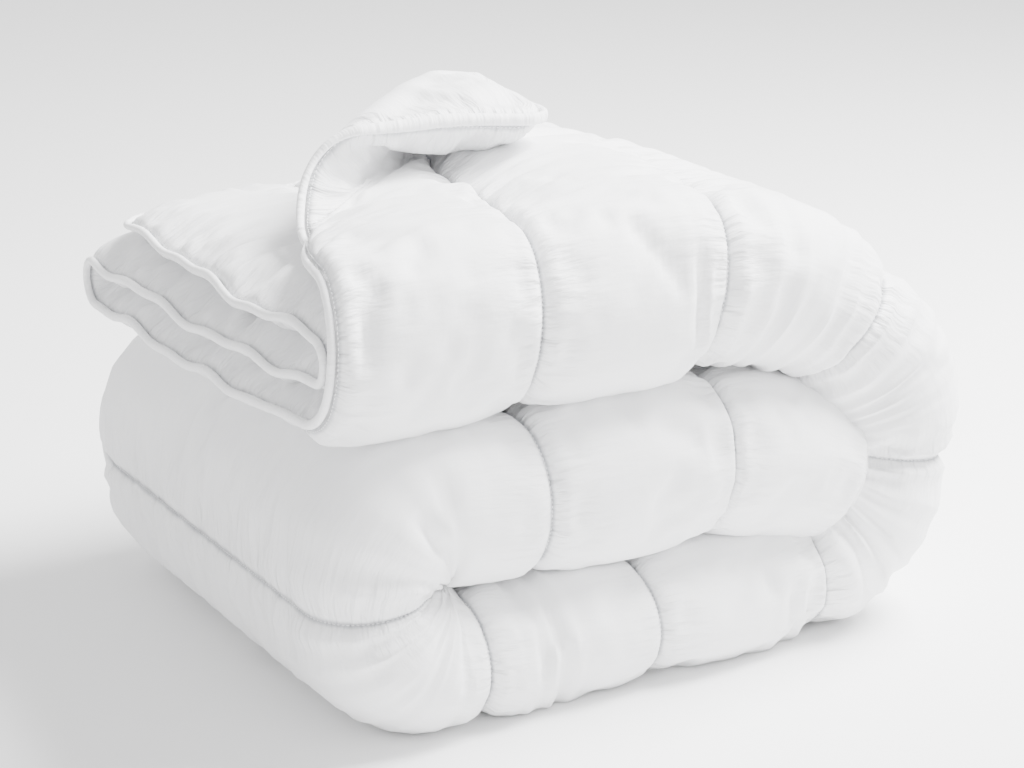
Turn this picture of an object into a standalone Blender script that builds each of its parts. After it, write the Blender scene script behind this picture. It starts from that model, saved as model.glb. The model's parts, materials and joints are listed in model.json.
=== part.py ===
"""A channel-quilted duvet, folded in four across its width and then rolled up.

The duvet is described flat: u runs along its length, v across its width and w
through its thickness, with w above zero on the upper cover's side.  place() takes
a flat point through the fold in four and then along the roll, so the fabrics, the
filling, the piping and the threads all keep clear of each other.

The roll has three passes.  The top pass ends in the open, piped end, and one
corner of its top layer is turned back.  The rolled bundle stands on the ground;
the top pass lifts on a hinge at a quilting seam, and the corner flap on its crease.
"""
import math

import bmesh
import bpy
from mathutils import Vector

# Driving dimensions, in metres.  Turns are in degrees.
CHANNEL_PITCH = 0.200
CHANNEL_COUNT = 11
DUVET_WIDTH = 2.200
LAYER_LOFT = 0.037
COVER_THICKNESS = 0.0010
CLEARANCE = 0.0005
FILL_CLEARANCE = 0.00085
THREAD_DIAMETER = 0.0010
PIPING_RADIUS = 0.0040
CASING_THICKNESS = 0.0012
EDGE_TAPER = 0.040
FIRST_FOLD_GAP = 0.004
PASS_GAP = 0.004
SHOULDER_RADIUS = 0.380
SHOULDER_TURN = 50.0
TOE_RADIUS = 0.190
TOE_TURN = 65.0
NEUTRAL_DEPTH = 0.043
INNER_END_TURN = 45.0

# Shares and counts.
FOLD_LAYERS = 4
PUFF_SHARE = 0.97
INNER_END_GATHER = 1.5
TOP_TO_BOTTOM_LENGTH = 0.94
TOP_LOFT = 1.18
BEND_LOFT = 1.00
BOTTOM_LOFT = 0.80
LEFT_BEND_LOFT = 0.95
MIDDLE_LOFT = 1.10
INNER_END_LOFT = 0.62
CHANNEL_STATIONS = ((0.0, 0.0), (0.2, 0.86), (0.5, 1.0), (0.8, 0.86))
EDGE_PUFF = 0.85
FOLD_CELLS = 4
BACK_FOLD_CELLS = 3
TOP_CHANNELS = 3
FLAP_CHANNELS = 1.5
PIPING_SIDES = 5
THREAD_SIDES = 3

# Worked out from the driving dimensions.
DUVET_LENGTH = CHANNEL_PITCH * CHANNEL_COUNT
STACK = FOLD_LAYERS * LAYER_LOFT
CELLS = len(CHANNEL_STATIONS)
LINE_COUNT = CHANNEL_COUNT * CELLS + 1
SEAM_HALF = THREAD_DIAMETER / 2 + CLEARANCE + COVER_THICKNESS
PUFF_HALF = LAYER_LOFT / 2 * PUFF_SHARE
FILL_INSET = EDGE_TAPER / 5
FILL_END_TAPER = 0.0015
EDGE_SEAM_INSET = EDGE_TAPER / 10
HINGE_LIFT = 0.0010
FLAP_GAP = 0.0007098
CREASE_DROP = (LAYER_LOFT / 2 - PUFF_HALF) * TOP_LOFT - FLAP_GAP / 2
GROUND_PRESS = 0.0045
SPLIT_SEAM_INSET = 0.0013
CREASE_GAP = 0.0007
SPLIT_GAP = 0.0004
PIPING_OFFSET = PIPING_RADIUS + SPLIT_GAP
FLAP_LEG = FLAP_CHANNELS * CHANNEL_PITCH
FLAP_TIP = 0.015
TOP_LINES = TOP_CHANNELS * CELLS

# The fold in four: where each straight layer and each fold begins, along v.
OUTER_FOLD = (FOLD_LAYERS - 1) * math.pi * LAYER_LOFT / 2
INNER_FOLD = math.pi * LAYER_LOFT / 2
INNER_FOLD_Y = 2 * LAYER_LOFT + FIRST_FOLD_GAP
FOLD_Y = 2 * LAYER_LOFT
BACK_Y = (DUVET_WIDTH - OUTER_FOLD - 2 * INNER_FOLD + 2 * FOLD_Y + 2 * INNER_FOLD_Y) / 4
V_OUTER = BACK_Y - FOLD_Y
V_SECOND = V_OUTER + OUTER_FOLD
V_BACK = V_SECOND + BACK_Y - FOLD_Y
V_THIRD = V_BACK + INNER_FOLD
V_INNER = V_THIRD + BACK_Y - INNER_FOLD_Y
V_FOURTH = V_INNER + INNER_FOLD

# The roll, seen from the front, along its outermost line.
LEFT_RADIUS = PASS_GAP + max((BOTTOM_LOFT + MIDDLE_LOFT) * STACK / 2, LEFT_BEND_LOFT * STACK)
ROLL_HEIGHT = 2 * LEFT_RADIUS + PASS_GAP + TOP_LOFT * STACK
SHOULDER_ANGLE = math.radians(SHOULDER_TURN)
TOE_ANGLE = math.radians(180.0 - TOE_TURN)
SHOULDER_DROP = SHOULDER_RADIUS * (1 - math.cos(SHOULDER_ANGLE))
TOE_DROP = TOE_RADIUS * (1 + math.cos(TOE_ANGLE))
SIDE_DROP = ROLL_HEIGHT - SHOULDER_DROP - TOE_DROP
SIDE_RADIUS = SIDE_DROP / (math.cos(SHOULDER_ANGLE) - math.cos(TOE_ANGLE))
INNER_END_ANGLE = math.radians(INNER_END_TURN)
INNER_END_RADIUS = SHOULDER_RADIUS - TOP_LOFT * STACK - PASS_GAP
INNER_END_REACH = INNER_END_RADIUS * INNER_END_ANGLE


def arc_stretch(radius, turn):
    """Describe a bend as outer length, turn, and the length of fabric it holds."""
    return (radius * turn, turn, (radius - NEUTRAL_DEPTH) * turn)


def roll_stretches():
    """List the stretches of the roll from the open end to the inner end."""
    shoulder = arc_stretch(SHOULDER_RADIUS, SHOULDER_ANGLE)
    side = arc_stretch(SIDE_RADIUS, TOE_ANGLE - SHOULDER_ANGLE)
    toe = arc_stretch(TOE_RADIUS, math.pi - TOE_ANGLE)
    left = arc_stretch(LEFT_RADIUS, math.pi)
    inner_end = (INNER_END_REACH, INNER_END_ANGLE, INNER_END_REACH * INNER_END_GATHER)
    bottom_start = (SHOULDER_RADIUS - SIDE_RADIUS) * math.sin(SHOULDER_ANGLE)
    bottom_start += (SIDE_RADIUS - TOE_RADIUS) * math.sin(TOE_ANGLE)
    held = shoulder[2] + side[2] + toe[2] + left[2] + inner_end[2]
    bottom = (DUVET_LENGTH - held + bottom_start) / (TOP_TO_BOTTOM_LENGTH + 2)
    top = TOP_TO_BOTTOM_LENGTH * bottom
    middle = bottom - bottom_start
    return [
        (top, 0.0, top),
        shoulder,
        side,
        toe,
        (bottom, 0.0, bottom),
        left,
        (middle, 0.0, middle),
        inner_end,
    ]


STRETCHES = roll_stretches()
TOP_LENGTH = STRETCHES[0][0]


def roll_line(u):
    """Return x, z and the heading of the roll's outermost line at length u."""
    x = -TOP_LENGTH
    z = ROLL_HEIGHT
    heading = 0.0
    start = 0.0
    for length, turn, fabric in STRETCHES:
        share = min((u - start) / fabric, 1.0)
        new_heading = heading + turn * share
        if turn == 0.0:
            x += length * share * math.cos(heading)
            z -= length * share * math.sin(heading)
        else:
            radius = length / turn
            x += radius * (math.sin(new_heading) - math.sin(heading))
            z += radius * (math.cos(new_heading) - math.cos(heading))
        heading = new_heading
        start += fabric
        if u < start:
            return x, z, heading
    beyond = u - start
    return x + beyond * math.cos(heading), z - beyond * math.sin(heading), heading


def loft_stations():
    """List the lengths at which the folded stack's loft changes, with its share."""
    ends = [0.0]
    for _, _, fabric in STRETCHES:
        ends.append(ends[-1] + fabric)
    return [
        (ends[1], TOP_LOFT),
        (ends[1] + 0.15, BEND_LOFT),
        (ends[4] - 0.10, BEND_LOFT),
        (ends[4] + 0.05, BOTTOM_LOFT),
        (ends[5] - 0.06, BOTTOM_LOFT),
        (ends[5] + 0.03, LEFT_BEND_LOFT),
        (ends[6] - 0.02, LEFT_BEND_LOFT),
        (ends[6] + 0.07, MIDDLE_LOFT),
        (ends[7], MIDDLE_LOFT),
        (ends[8], INNER_END_LOFT),
    ]


LOFTS = loft_stations()


def loft_share(u):
    """Return how far the stack swells (above 1) or is pressed (below 1) at u."""
    if u <= LOFTS[0][0]:
        return LOFTS[0][1]
    for (start, low), (end, high) in zip(LOFTS, LOFTS[1:]):
        if u < end:
            return low + (high - low) * (u - start) / (end - start)
    return LOFTS[-1][1]


def fold_in_four(v, w):
    """Return y across the folded stack and n through it, from a flat v and w."""
    loft = LAYER_LOFT
    if v < V_OUTER:
        return BACK_Y - v, 3.5 * loft + w
    if v < V_SECOND:
        turn = (v - V_OUTER) / (1.5 * loft)
        radius = 1.5 * loft + w
        return FOLD_Y - radius * math.sin(turn), 2 * loft + radius * math.cos(turn)
    if v < V_BACK:
        return FOLD_Y + v - V_SECOND, 0.5 * loft - w
    if v < V_THIRD:
        turn = (v - V_BACK) / (0.5 * loft)
        radius = 0.5 * loft + w
        return BACK_Y + radius * math.sin(turn), loft - radius * math.cos(turn)
    if v < V_INNER:
        return BACK_Y - (v - V_THIRD), 1.5 * loft + w
    if v < V_FOURTH:
        turn = (v - V_INNER) / (0.5 * loft)
        radius = 0.5 * loft - w
        return INNER_FOLD_Y - radius * math.sin(turn), 2 * loft - radius * math.cos(turn)
    return INNER_FOLD_Y + v - V_FOURTH, 2.5 * loft - w


def place(u, v, w):
    """Carry a flat point through the fold in four and along the roll."""
    x, z, heading = roll_line(u)
    y, n = fold_in_four(v, w)
    depth = (STACK - n) * loft_share(u)
    return Vector((x - depth * math.sin(heading), y, z - depth * math.cos(heading)))


CREASE_POINT = Vector((FLAP_LEG - TOP_LENGTH, BACK_Y, ROLL_HEIGHT - CREASE_DROP))


def place_on_flap(u, v, w):
    """Carry a flat point of the corner over its crease, half a turn."""
    flat = place(u, v, w) - CREASE_POINT
    along = (flat.x + flat.y) / 2
    return CREASE_POINT + Vector((2 * along - flat.x, 2 * along - flat.y, -flat.z))


def fold_stations():
    """List the v stations of one crossing of the duvet, with their puff shares."""
    stations = [(0.0, 0.0), (EDGE_TAPER, EDGE_PUFF)]
    stations += [(V_OUTER + OUTER_FOLD * i / FOLD_CELLS, 1.0) for i in range(FOLD_CELLS + 1)]
    back = INNER_FOLD / BACK_FOLD_CELLS
    stations += [(V_BACK + back * i, 1.0) for i in range(BACK_FOLD_CELLS + 1)]
    stations += [(V_INNER + INNER_FOLD * i / FOLD_CELLS, 1.0) for i in range(FOLD_CELLS + 1)]
    stations += [(DUVET_WIDTH - EDGE_TAPER, EDGE_PUFF), (DUVET_WIDTH, 0.0)]
    return stations


V_STATIONS = fold_stations()
LAST_V = len(V_STATIONS) - 1


def u_station(line):
    """Return the length and the puff share of one of the lines across the duvet."""
    channel, cell = divmod(line, CELLS)
    share, puff = CHANNEL_STATIONS[cell]
    return (channel + share) * CHANNEL_PITCH, puff


def body_station(line, row):
    """Return u, v and the puff share of a lattice point outside the corner flap."""
    u, u_puff = u_station(line)
    v, v_puff = V_STATIONS[row]
    cut = FLAP_LEG - u
    if cut > 0.5 * FLAP_TIP and row < 2:
        v = cut + CREASE_GAP + row * EDGE_TAPER
        v_puff = 1.0
    return u, v, u_puff * v_puff


def flap_station(line, row):
    """Return u, v and the puff share of a lattice point on the corner flap."""
    u, u_puff = u_station(line)
    u = min(u, FLAP_LEG - FLAP_TIP)
    reach = FLAP_LEG - u - CREASE_GAP
    v = (0.0, min(EDGE_TAPER, 0.6 * reach), reach)[row]
    v_puff = (0.0, EDGE_PUFF, 1.0)[row]
    return u, v, u_puff * v_puff


class Lattice:
    """The grid of flat stations that the layers of one body are built on."""

    def __init__(self, station, carry, last_row):
        self.station = station
        self.carry = carry
        self.last_row = last_row

    def corner(self, line, row, side, shift):
        """Place one grid point: on a face of the layer (side 1 or -1) or midway (0)."""
        u, v, puff = self.station(line, row)
        half = SEAM_HALF + (PUFF_HALF - SEAM_HALF) * puff
        placed = self.carry(u, v, side * half + shift)
        placed.z = max(placed.z, GROUND_PRESS + abs(shift))
        return placed

    def puff(self, line, row):
        """Return the puff share between grid points."""
        line_low = min(int(line), LINE_COUNT - 2)
        row_low = min(int(row), self.last_row - 1)
        total = 0.0
        for line_step, line_part in ((0, line_low + 1 - line), (1, line - line_low)):
            for row_step, row_part in ((0, row_low + 1 - row), (1, row - row_low)):
                share = self.station(line_low + line_step, row_low + row_step)[2]
                total += share * line_part * row_part
        return total

    def point(self, line, row, side, shift):
        """Place a point between grid points, on the flat facet that they span."""
        line_low = min(int(line), LINE_COUNT - 2)
        row_low = min(int(row), self.last_row - 1)
        near = self.corner(line_low, row_low, side, shift)
        near = near.lerp(self.corner(line_low, row_low + 1, side, shift), row - row_low)
        far = self.corner(line_low + 1, row_low, side, shift)
        far = far.lerp(self.corner(line_low + 1, row_low + 1, side, shift), row - row_low)
        return near.lerp(far, line - line_low)


BODY = Lattice(body_station, place, LAST_V)
FLAP = Lattice(flap_station, place_on_flap, 2)


def steps(start, end):
    """List the grid positions from start to end, with the whole ones between."""
    return [start] + list(range(math.floor(start) + 1, math.ceil(end))) + [end]


def slab(grid, lines, rows, top, bottom, end_taper=0.0):
    """Build a closed slab between two faces, each given as a side and a shift."""
    points = []
    for side, shift in (top, bottom):
        for line in lines:
            taper = side * end_taper if line in (lines[0], lines[-1]) else 0.0
            points += [grid.point(line, row, side, shift - taper) for row in rows]
    across = len(rows)
    below = len(lines) * across
    faces = []
    for i in range(len(lines) - 1):
        for j in range(across - 1):
            a = i * across + j
            b = a + across
            crown = grid.puff(lines[i], rows[j]) + grid.puff(lines[i + 1], rows[j + 1])
            crown -= grid.puff(lines[i], rows[j + 1]) + grid.puff(lines[i + 1], rows[j])
            for start, reverse in ((0, 1), (below, -1)):
                corners = [start + a, start + b, start + b + 1, start + a + 1]
                if crown < -0.001:
                    corners = corners[1:] + corners[:1]
                first, second, third, fourth = corners
                faces += [(first, second, third)[::reverse], (first, third, fourth)[::reverse]]
    rim = [i * across for i in range(len(lines))]
    rim += [(len(lines) - 1) * across + j for j in range(1, across)]
    rim += [i * across + across - 1 for i in range(len(lines) - 2, -1, -1)]
    rim += list(range(across - 2, 0, -1))
    for a, b in zip(rim, rim[1:] + rim[:1]):
        faces += [(b, a, below + a), (b, below + a, below + b)]
    return points, faces


def ring_band(first, second, sides):
    """Join two rings of points with a band of triangles."""
    faces = []
    for k in range(sides):
        after = (k + 1) % sides
        faces += [(first + k, first + after, second + after)]
        faces += [(first + k, second + after, second + k)]
    return faces


def tube(rings, inner_rings=None):
    """Build a solid rod from rings of points, or a tube if it has inner rings."""
    sides = len(rings[0])
    points = [point for ring in rings for point in ring]
    last = (len(rings) - 1) * sides
    faces = []
    for start in range(0, last, sides):
        faces += ring_band(start, start + sides, sides)
    if inner_rings is None:
        faces += [(0, k + 1, k) for k in range(1, sides - 1)]
        faces += [(last, last + k, last + k + 1) for k in range(1, sides - 1)]
        return points, faces
    inner = len(points)
    points += [point for ring in inner_rings for point in ring]
    for start in range(inner, inner + last, sides):
        faces += ring_band(start + sides, start, sides)
    faces += ring_band(inner, 0, sides)
    faces += ring_band(last, inner + last, sides)
    return points, faces


def piping_rings(carry, route, radius):
    """Ring a route along the duvet's edge: u, v and the way out in u and in v."""
    rings = []
    for u, v, out_u, out_v in route:
        ring = []
        for k in range(PIPING_SIDES):
            angle = math.tau * k / PIPING_SIDES
            out = PIPING_OFFSET - radius * math.cos(angle)
            ring.append(carry(u + out_u * out, v + out_v * out, radius * math.sin(angle)))
        rings.append(ring)
    return rings


def thread_rings(grid, route):
    """Ring a thread's route between the covers: line, row and its sideways steps."""
    radius = THREAD_DIAMETER / 2
    rings = []
    for line, row, line_step, row_step in route:
        ring = []
        for k in range(THREAD_SIDES):
            angle = math.tau * k / THREAD_SIDES
            out = radius * math.cos(angle)
            shift = radius * math.sin(angle)
            ring.append(grid.point(line + line_step * out, row + row_step * out, 0, shift))
        rings.append(ring)
    return rings


# Grid cells per metre beside a seam and beside an edge, and insets in grid cells.
LINES_PER_METRE = 1 / (CHANNEL_STATIONS[1][0] * CHANNEL_PITCH)
ROWS_PER_METRE = 1 / EDGE_TAPER
FILL_LINES = FILL_INSET * LINES_PER_METRE
FILL_ROWS = FILL_INSET * ROWS_PER_METRE
SEAM_LINES = EDGE_SEAM_INSET * LINES_PER_METRE
SEAM_ROWS = EDGE_SEAM_INSET * ROWS_PER_METRE
SPLIT_LINES = SPLIT_GAP * LINES_PER_METRE
SPLIT_SEAM_LINES = SPLIT_SEAM_INSET * LINES_PER_METRE
LAST_LINE = LINE_COUNT - 1
FLAP_LINES = round(FLAP_CHANNELS * CELLS)
FLAP_ROWS = FLAP.last_row
CUT_INSET = 0.05


def make_material(name, colour, roughness):
    """Make a matt material of one colour."""
    material = bpy.data.materials.new(name)
    material.use_nodes = True
    shader = material.node_tree.nodes["Principled BSDF"]
    shader.inputs["Base Color"].default_value = (*colour, 1.0)
    shader.inputs["Roughness"].default_value = roughness
    shader.inputs["Metallic"].default_value = 0.0
    return material


def turn_faces_outward(mesh):
    """Turn every face of a closed mesh to look outwards."""
    shape = bmesh.new()
    shape.from_mesh(mesh)
    if shape.calc_volume(signed=True) < 0:
        bmesh.ops.reverse_faces(shape, faces=shape.faces)
    shape.to_mesh(mesh)
    shape.free()


class Body:
    """One rigid body of the duvet: its hinge empty and the pieces hung from it."""

    def __init__(self, name, centre, hinge_point):
        self.centre = centre
        self.empty = bpy.data.objects.new(name, None)
        self.empty.location = hinge_point - centre
        bpy.context.scene.collection.objects.link(self.empty)

    def add(self, name, shape, finish):
        """Add one piece, placed in the roll, as a named object."""
        colour, roughness = finish
        points, faces = shape
        mesh = bpy.data.meshes.new(name)
        origin = self.empty.location + self.centre
        mesh.from_pydata([tuple(point - origin) for point in points], [], faces)
        turn_faces_outward(mesh)
        mesh.shade_smooth()
        mesh.set_sharp_from_angle(angle=math.radians(60))
        mesh.materials.append(make_material(name, colour, roughness))
        piece = bpy.data.objects.new(name, mesh)
        piece.parent = self.empty
        bpy.context.scene.collection.objects.link(piece)

    def add_covers(self, grid, lines, rows):
        """Add the upper and the lower cover, each a thin shell."""
        name = self.empty.name
        upper = slab(grid, lines, rows, (1, 0.0), (1, -COVER_THICKNESS))
        lower = slab(grid, lines, rows, (-1, COVER_THICKNESS), (-1, 0.0))
        self.add(name + "_upper_cover", upper, UPPER_FABRIC)
        self.add(name + "_lower_cover", lower, LOWER_FABRIC)

    def add_filling(self, name, grid, lines, rows):
        """Add the fibre filling of one channel, clear of both covers."""
        depth = COVER_THICKNESS + FILL_CLEARANCE
        shape = slab(grid, lines, rows, (1, -depth), (-1, depth), FILL_END_TAPER)
        self.add(name, shape, FIBRE)

    def add_thread(self, name, grid, route):
        """Add a line of stitching, drawn as the thread where the covers meet."""
        self.add(name, tube(thread_rings(grid, route)), THREAD)

    def add_piping(self, name, carry, route):
        """Add piping along a route: a hollow fabric casing and the cord in it."""
        bore = PIPING_RADIUS - CASING_THICKNESS
        walls = piping_rings(carry, route, PIPING_RADIUS), piping_rings(carry, route, bore)
        self.add(name + "_casing", tube(*walls), PIPING_FABRIC)
        core = piping_rings(carry, route, bore - CLEARANCE)
        self.add(name + "_cord", tube(core), PIPING_CORD)


UPPER_FABRIC = ((0.90, 0.90, 0.91), 0.85)
LOWER_FABRIC = ((0.87, 0.87, 0.89), 0.85)
PIPING_FABRIC = ((0.93, 0.93, 0.93), 0.80)
PIPING_CORD = ((0.86, 0.84, 0.79), 0.95)
FIBRE = ((0.97, 0.97, 0.96), 0.95)
THREAD = ((0.80, 0.80, 0.82), 0.60)


def quilting_route(line, rows):
    """Give the route of the quilting seam that crosses the duvet at one line."""
    return [(line, row, LINES_PER_METRE, 0) for row in rows]


def build_rolled_bundle(body):
    """Build the channels that stay rolled and stand on the ground."""
    body.add_covers(BODY, steps(TOP_LINES + SPLIT_LINES, LAST_LINE), steps(0, LAST_V))
    rows = steps(FILL_ROWS, LAST_V - FILL_ROWS)
    for channel in range(TOP_CHANNELS, CHANNEL_COUNT):
        start = channel * CELLS
        lines = steps(start + FILL_LINES, start + CELLS - FILL_LINES)
        body.add_filling(f"filling_{channel + 1:02d}", BODY, lines, rows)
        seam = start + (SPLIT_SEAM_LINES if channel == TOP_CHANNELS else 0)
        body.add_thread(f"quilting_seam_{channel:02d}", BODY, quilting_route(seam, rows))

    between = range(TOP_LINES + 1, LAST_LINE)
    along = [TOP_CHANNELS * CHANNEL_PITCH + SPLIT_GAP] + [u_station(i)[0] for i in between]
    piping = [(u, 0.0, 0, -1) for u in along]
    piping += [(DUVET_LENGTH, 0.0, 1, -1)]
    piping += [(DUVET_LENGTH, v, 1, 0) for v, _ in V_STATIONS[1:-1]]
    piping += [(DUVET_LENGTH, DUVET_WIDTH, 1, 1)]
    piping += [(u, DUVET_WIDTH, 0, 1) for u in reversed(along)]
    body.add_piping("bundle_piping", place, piping)

    near = SEAM_ROWS
    far = LAST_V - SEAM_ROWS
    end = LAST_LINE - SEAM_LINES
    along = [TOP_LINES + SPLIT_LINES] + list(between)
    seam = [(line, near, 0, -ROWS_PER_METRE) for line in along]
    seam += [(end, near, LINES_PER_METRE, -ROWS_PER_METRE)]
    seam += [(end, row, LINES_PER_METRE, 0) for row in range(1, LAST_V)]
    seam += [(end, far, LINES_PER_METRE, ROWS_PER_METRE)]
    seam += [(line, far, 0, ROWS_PER_METRE) for line in reversed(along)]
    body.add_thread("bundle_edge_seam", BODY, seam)


def build_top_pass(body):
    """Build the channels of the top pass, less the corner that is turned back."""
    body.add_covers(BODY, steps(0, TOP_LINES - SPLIT_LINES), steps(0, LAST_V))
    rows = steps(FILL_ROWS, LAST_V - FILL_ROWS)
    for channel in range(TOP_CHANNELS):
        start = channel * CELLS
        lines = steps(start + FILL_LINES, start + CELLS - FILL_LINES)
        body.add_filling(f"filling_{channel + 1:02d}", BODY, lines, rows)
        if channel > 0:
            route = quilting_route(start, rows)
            body.add_thread(f"quilting_seam_{channel:02d}", BODY, route)

    end = TOP_CHANNELS * CHANNEL_PITCH - SPLIT_GAP
    along = [u_station(i)[0] for i in range(1, TOP_LINES)] + [end]
    piping = [(0.0, FLAP_LEG + CREASE_GAP, -1, 0), (0.0, FLAP_LEG + EDGE_TAPER, -1, 0)]
    piping += [(0.0, v, -1, 0) for v, _ in V_STATIONS[2:-1]]
    piping += [(0.0, DUVET_WIDTH, -1, 1)]
    piping += [(u, DUVET_WIDTH, 0, 1) for u in along]
    body.add_piping("top_pass_piping", place, piping)
    back = [(FLAP_LEG + CREASE_GAP, 0.0, 0, -1)]
    back += [(u, 0.0, 0, -1) for u in along if u > FLAP_LEG + CREASE_GAP]
    body.add_piping("top_pass_back_piping", place, back)

    near = SEAM_ROWS
    far = LAST_V - SEAM_ROWS
    seam = [(SEAM_LINES, row, -LINES_PER_METRE, 0) for row in [CUT_INSET, *range(1, LAST_V)]]
    seam += [(SEAM_LINES, far, -LINES_PER_METRE, ROWS_PER_METRE)]
    lines = list(range(1, TOP_LINES)) + [TOP_LINES - SPLIT_LINES]
    seam += [(line, far, 0, ROWS_PER_METRE) for line in lines]
    body.add_thread("top_pass_edge_seam", BODY, seam)
    lines = [FLAP_LINES + CUT_INSET] + lines[FLAP_LINES:]
    seam = [(line, near, 0, -ROWS_PER_METRE) for line in lines]
    body.add_thread("top_pass_back_edge_seam", BODY, seam)


def build_corner_flap(body):
    """Build the corner of the top layer, turned back over its crease."""
    body.add_covers(FLAP, steps(0, FLAP_LINES), steps(0, FLAP_ROWS))
    rows = steps(FILL_ROWS, FLAP_ROWS)
    lines = steps(FILL_LINES, CELLS - FILL_LINES)
    body.add_filling("corner_flap_filling", FLAP, lines, rows)
    lines = steps(CELLS + FILL_LINES, FLAP_LINES - CUT_INSET)
    body.add_filling("corner_flap_side_filling", FLAP, lines, rows)
    route = quilting_route(CELLS, steps(FILL_ROWS, FLAP_ROWS - CUT_INSET))
    body.add_thread("corner_flap_quilting_seam", FLAP, route)

    piping = [(FLAP_LEG - CREASE_GAP, 0.0, 0, -1)]
    piping += [(u_station(i)[0], 0.0, 0, -1) for i in range(FLAP_LINES - 1, 0, -1)]
    piping += [(0.0, 0.0, -1, -1), (0.0, EDGE_TAPER, -1, 0)]
    piping += [(0.0, FLAP_LEG - CREASE_GAP, -1, 0)]
    body.add_piping("corner_flap_piping", place_on_flap, piping)

    lines = [FLAP_LINES - CUT_INSET] + list(range(FLAP_LINES - 1, 0, -1))
    seam = [(line, SEAM_ROWS, 0, -ROWS_PER_METRE) for line in lines]
    seam += [(SEAM_LINES, SEAM_ROWS, -LINES_PER_METRE, -ROWS_PER_METRE)]
    seam += [(SEAM_LINES, row, -LINES_PER_METRE, 0) for row in (1, FLAP_ROWS - CUT_INSET)]
    body.add_thread("corner_flap_edge_seam", FLAP, seam)


def outline_centre():
    """Find the middle of the bundle's ground outline, piping included."""
    corners = []
    rim = PIPING_OFFSET + PIPING_RADIUS
    for v in [-rim, *(v for v, _ in V_STATIONS), DUVET_WIDTH + rim]:
        for line in range(LINE_COUNT):
            corners.append(place(u_station(line)[0], v, PUFF_HALF))
        corners.append(place(-rim, v, 0.0))
    low = [min(point[axis] for point in corners) for axis in (0, 1)]
    high = [max(point[axis] for point in corners) for axis in (0, 1)]
    return Vector(((low[0] + high[0]) / 2, (low[1] + high[1]) / 2, GROUND_PRESS))


def clear_scene():
    """Remove whatever the scene holds."""
    for old in list(bpy.data.objects):
        bpy.data.objects.remove(old, do_unlink=True)


def build():
    """Build the duvet with its origin at the bottom centre."""
    clear_scene()
    centre = outline_centre()
    x, z, heading = roll_line(TOP_CHANNELS * CHANNEL_PITCH)
    outward = Vector((math.sin(heading), 0.0, math.cos(heading)))
    seam_hinge = Vector((x, centre.y, z)) + outward * HINGE_LIFT
    build_rolled_bundle(Body("bundle", centre, centre))
    build_top_pass(Body("top_pass", centre, seam_hinge))
    crease_middle = CREASE_POINT - Vector((FLAP_LEG / 2, FLAP_LEG / 2, 0.0))
    build_corner_flap(Body("corner_flap", centre, crease_middle))


build()
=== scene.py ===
import json
import math

import bmesh
import bpy
import numpy as np
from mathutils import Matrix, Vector


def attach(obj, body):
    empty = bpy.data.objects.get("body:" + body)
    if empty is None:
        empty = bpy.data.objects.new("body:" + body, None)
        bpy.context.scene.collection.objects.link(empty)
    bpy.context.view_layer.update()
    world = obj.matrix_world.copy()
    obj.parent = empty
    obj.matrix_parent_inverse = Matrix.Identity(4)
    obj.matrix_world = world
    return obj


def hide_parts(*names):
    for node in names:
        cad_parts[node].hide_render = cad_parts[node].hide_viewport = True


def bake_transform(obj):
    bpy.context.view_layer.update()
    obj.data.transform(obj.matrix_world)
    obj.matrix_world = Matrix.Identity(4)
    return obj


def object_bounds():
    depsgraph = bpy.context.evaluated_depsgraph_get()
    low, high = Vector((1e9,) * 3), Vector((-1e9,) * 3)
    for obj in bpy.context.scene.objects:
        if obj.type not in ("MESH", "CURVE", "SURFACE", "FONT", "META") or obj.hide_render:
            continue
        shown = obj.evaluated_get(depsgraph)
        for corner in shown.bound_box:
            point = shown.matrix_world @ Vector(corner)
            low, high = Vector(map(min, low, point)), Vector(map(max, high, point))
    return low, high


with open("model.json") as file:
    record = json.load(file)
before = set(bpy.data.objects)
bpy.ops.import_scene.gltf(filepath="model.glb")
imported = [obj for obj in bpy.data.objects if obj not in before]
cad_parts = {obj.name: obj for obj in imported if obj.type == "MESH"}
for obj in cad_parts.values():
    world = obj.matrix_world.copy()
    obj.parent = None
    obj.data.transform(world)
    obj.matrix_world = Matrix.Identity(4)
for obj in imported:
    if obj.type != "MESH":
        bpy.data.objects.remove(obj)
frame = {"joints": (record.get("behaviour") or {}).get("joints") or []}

cad_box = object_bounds()

# Quilted channels.  Two microfibre covers are cut square, sewn together in eleven channels and
# filled with fibre.  The quilt is folded in half twice across its width and then rolled up, so
# each channel is a long pillow that bends with the fold and the roll and pinches at its seams.
CHANNEL_PITCH = 0.200
CHANNEL_COUNT = 11
QUILT_WIDTH = 2.200
QUILT_LENGTH = CHANNEL_PITCH * CHANNEL_COUNT
LOFT = 0.037
STACK = 4 * LOFT
CELL = 0.0125
SPLIT = 2
OUTER_FOLD = 1.5 * math.pi * LOFT
INNER_FOLD = 0.5 * math.pi * LOFT
FOLD_Y = 2 * LOFT
INNER_FOLD_Y = 2 * LOFT + 0.004
BACK_Y = (QUILT_WIDTH - OUTER_FOLD - 2 * INNER_FOLD + 2 * FOLD_Y + 2 * INNER_FOLD_Y) / 4
V_OUTER = BACK_Y - FOLD_Y
V_SECOND = V_OUTER + OUTER_FOLD
V_BACK = V_SECOND + BACK_Y - FOLD_Y
V_THIRD = V_BACK + INNER_FOLD
V_INNER = V_THIRD + BACK_Y - INNER_FOLD_Y
V_FOURTH = V_INNER + INNER_FOLD
PASS_GAP = 0.004
LOFT_SHARES = {"top": 1.18, "bend": 1.00, "bottom": 0.80, "left": 0.95, "middle": 1.10}
LEFT_RADIUS = PASS_GAP + max(
    (LOFT_SHARES["bottom"] + LOFT_SHARES["middle"]) * STACK / 2, LOFT_SHARES["left"] * STACK
)
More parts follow.
